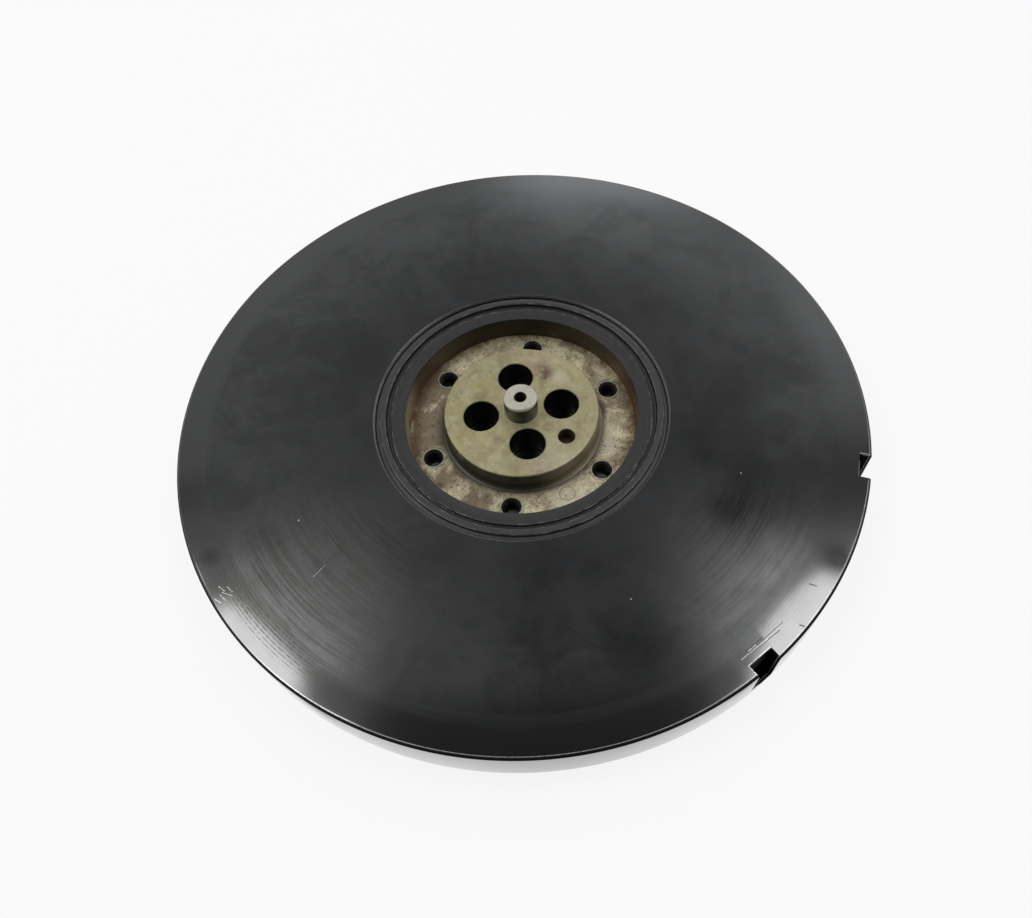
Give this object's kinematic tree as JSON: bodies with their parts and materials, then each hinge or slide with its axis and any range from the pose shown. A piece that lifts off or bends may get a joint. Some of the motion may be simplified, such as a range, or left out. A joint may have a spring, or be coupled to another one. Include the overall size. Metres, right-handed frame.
{
  "type": "pottery wheel head",
  "caption": "Round black pottery wheel head, hub side up, with rim notches and a recessed steel hub that turns in a slim ball bearing.",
  "frame": {"origin": "on the turning axis, at the working face that the wheel lies on", "axes": "+Z along the turning axis out of the hub side; +X and +Y in the plane of the wheel, with the rim notches 16 and 54.9 degrees clockwise of +X"},
  "size_m": [0.3048, 0.3048, 0.0297],
  "materials": {
    "black_wheel": "black hard-anodised, turned and polished, lightly scratched",
    "black_collar": "black oxide, satin, with a stained brown bore",
    "bearing_steel": "ground bearing steel",
    "ground_boss": "turned steel with an olive patina",
    "stained_plate": "pitted steel with rust and oil stains",
    "pin_steel": "ground steel",
    "seal_rubber": "matte black rubber",
    "cage_brass": "machined brass",
    "screw_steel": "black oxide"
  },
  "bodies": {
    "wheel": {"wheel_disc": "black_wheel", "bearing_outer_ring": "bearing_steel", "bearing_retainer": "black_collar", "bearing_seal": "seal_rubber"},
    "ball_set": {"bearing_cage": "cage_brass", "bearing_ball_01": "bearing_steel", "bearing_ball_02": "bearing_steel", "bearing_ball_03": "bearing_steel", "bearing_ball_04": "bearing_steel", "bearing_ball_05": "bearing_steel", "bearing_ball_06": "bearing_steel", "bearing_ball_07": "bearing_steel", "bearing_ball_08": "bearing_steel", "bearing_ball_09": "bearing_steel", "bearing_ball_10": "bearing_steel", "bearing_ball_11": "bearing_steel", "bearing_ball_12": "bearing_steel", "bearing_ball_13": "bearing_steel", "bearing_ball_14": "bearing_steel", "bearing_ball_15": "bearing_steel", "bearing_ball_16": "bearing_steel", "bearing_ball_17": "bearing_steel", "bearing_ball_18": "bearing_steel", "bearing_ball_19": "bearing_steel", "bearing_ball_20": "bearing_steel", "bearing_ball_21": "bearing_steel", "bearing_ball_22": "bearing_steel", "bearing_ball_23": "bearing_steel", "bearing_ball_24": "bearing_steel"},
    "hub": {"bearing_inner_ring": "bearing_steel", "hub_plate": "stained_plate", "hub_collar": "black_collar", "hub_boss": "ground_boss", "boss_dowel": "pin_steel", "pilot_pin": "pin_steel", "boss_screw_1": "screw_steel", "boss_screw_2": "screw_steel", "boss_screw_3": "screw_steel", "collar_screw_1": "screw_steel", "collar_screw_2": "screw_steel", "collar_screw_3": "screw_steel", "collar_screw_4": "screw_steel", "collar_screw_5": "screw_steel", "collar_screw_6": "screw_steel"}
  },
  "joints": [
    {"name": "hub_spin", "type": "hinge", "parent": "wheel", "child": "hub", "pos_m": [0, 0, 0.0149], "axis": [0, 0, 1], "continuous": true},
    {"name": "ball_set_turn", "type": "hinge", "parent": "wheel", "child": "ball_set", "pos_m": [0, 0, 0.0149], "axis": [0, 0, 1], "continuous": true}
  ],
  "couplings": [
    {"joint": "ball_set_turn", "follows": "hub_spin", "ratio": 0.4805}
  ]
}
